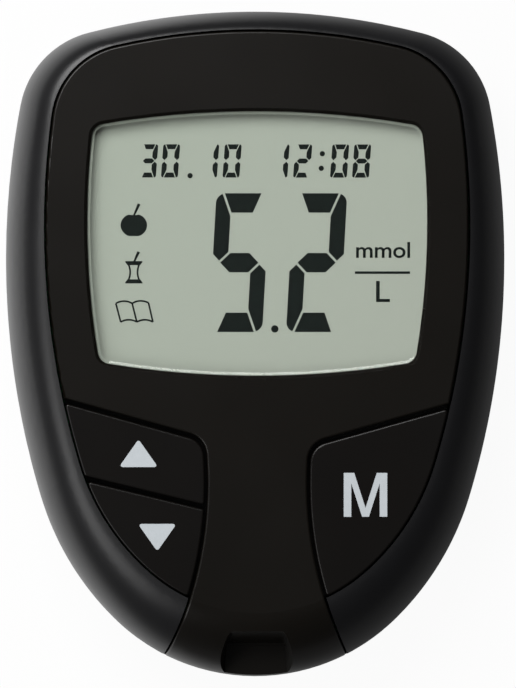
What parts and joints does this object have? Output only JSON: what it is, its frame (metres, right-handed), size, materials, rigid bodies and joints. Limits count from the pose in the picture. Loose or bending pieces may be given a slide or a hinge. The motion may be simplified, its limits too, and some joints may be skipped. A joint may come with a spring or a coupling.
{
  "type": "blood glucose meter",
  "caption": "Handheld blood glucose meter with a display, three sprung keys, a test strip port in its nose, a data jack and a sliding battery cover.",
  "frame": {"origin": "middle of the footprint, on the surface the meter lies on", "axes": "+X to the right of the display, +Y to the top of the display, +Z out of the display"},
  "size_m": [0.0574, 0.0764, 0.019],
  "materials": {
    "housing_plastic": "gloss black moulding",
    "frame_plastic": "satin black moulding",
    "back_plastic": "fine textured moulding",
    "key_plastic": "satin moulding",
    "lens": "clear acrylic",
    "adhesive": "adhesive foam",
    "lcd_glass": "polished",
    "reflector_foil": "matt foil",
    "holder_plastic": "moulded",
    "zebra_rubber": "layered silicone",
    "board": "solder resist",
    "chip_black": "moulded epoxy",
    "crystal_can": "drawn can",
    "socket_plastic": "moulded",
    "contact_metal": "plated spring",
    "cell_steel": "nickel plated",
    "screw_steel": "zinc plated",
    "dome_steel": "spring steel"
  },
  "bodies": {
    "meter": {"front_housing": "housing_plastic", "side_frame": "frame_plastic", "rear_cover": "back_plastic", "display_lens": "lens", "lens_gasket": "adhesive", "lcd_glass_front": "lcd_glass", "lcd_glass_rear": "lcd_glass", "lcd_reflector": "reflector_foil", "lcd_holder": "holder_plastic", "zebra_strip": "zebra_rubber", "main_board": "board", "microcontroller": "chip_black", "measuring_chip": "chip_black", "temperature_sensor": "chip_black", "chip_passives": "chip_black", "buzzer": "chip_black", "clock_crystal": "crystal_can", "strip_connector": "socket_plastic", "data_jack": "socket_plastic", "strip_contacts": "contact_metal", "jack_contacts": "contact_metal", "cell_contacts_positive": "contact_metal", "cell_contacts_negative": "contact_metal", "coin_cell_left": "cell_steel", "coin_cell_right": "cell_steel", "case_screws": "screw_steel", "board_screws": "screw_steel", "snap_dome_up": "dome_steel", "snap_dome_down": "dome_steel", "snap_dome_memory": "dome_steel"},
    "up_key": {"button_up": "key_plastic"},
    "down_key": {"button_down": "key_plastic"},
    "memory_key": {"button_memory": "key_plastic"},
    "battery_door": {"battery_cover": "back_plastic"}
  },
  "joints": [
    {"name": "up_press", "type": "slide", "parent": "meter", "child": "up_key", "axis": [0, 0, -1], "range_m": [0, 0.0005], "stiffness_N_per_m": 3000, "deforming": ["snap_dome_up"]},
    {"name": "down_press", "type": "slide", "parent": "meter", "child": "down_key", "axis": [0, 0, -1], "range_m": [0, 0.0005], "stiffness_N_per_m": 3000, "deforming": ["snap_dome_down"]},
    {"name": "memory_press", "type": "slide", "parent": "meter", "child": "memory_key", "axis": [0, 0, -1], "range_m": [0, 0.0005], "stiffness_N_per_m": 3000, "deforming": ["snap_dome_memory"]},
    {"name": "battery_cover_slide", "type": "slide", "parent": "meter", "child": "battery_door", "axis": [0, 1, 0], "range_m": [0, 0.022]}
  ]
}
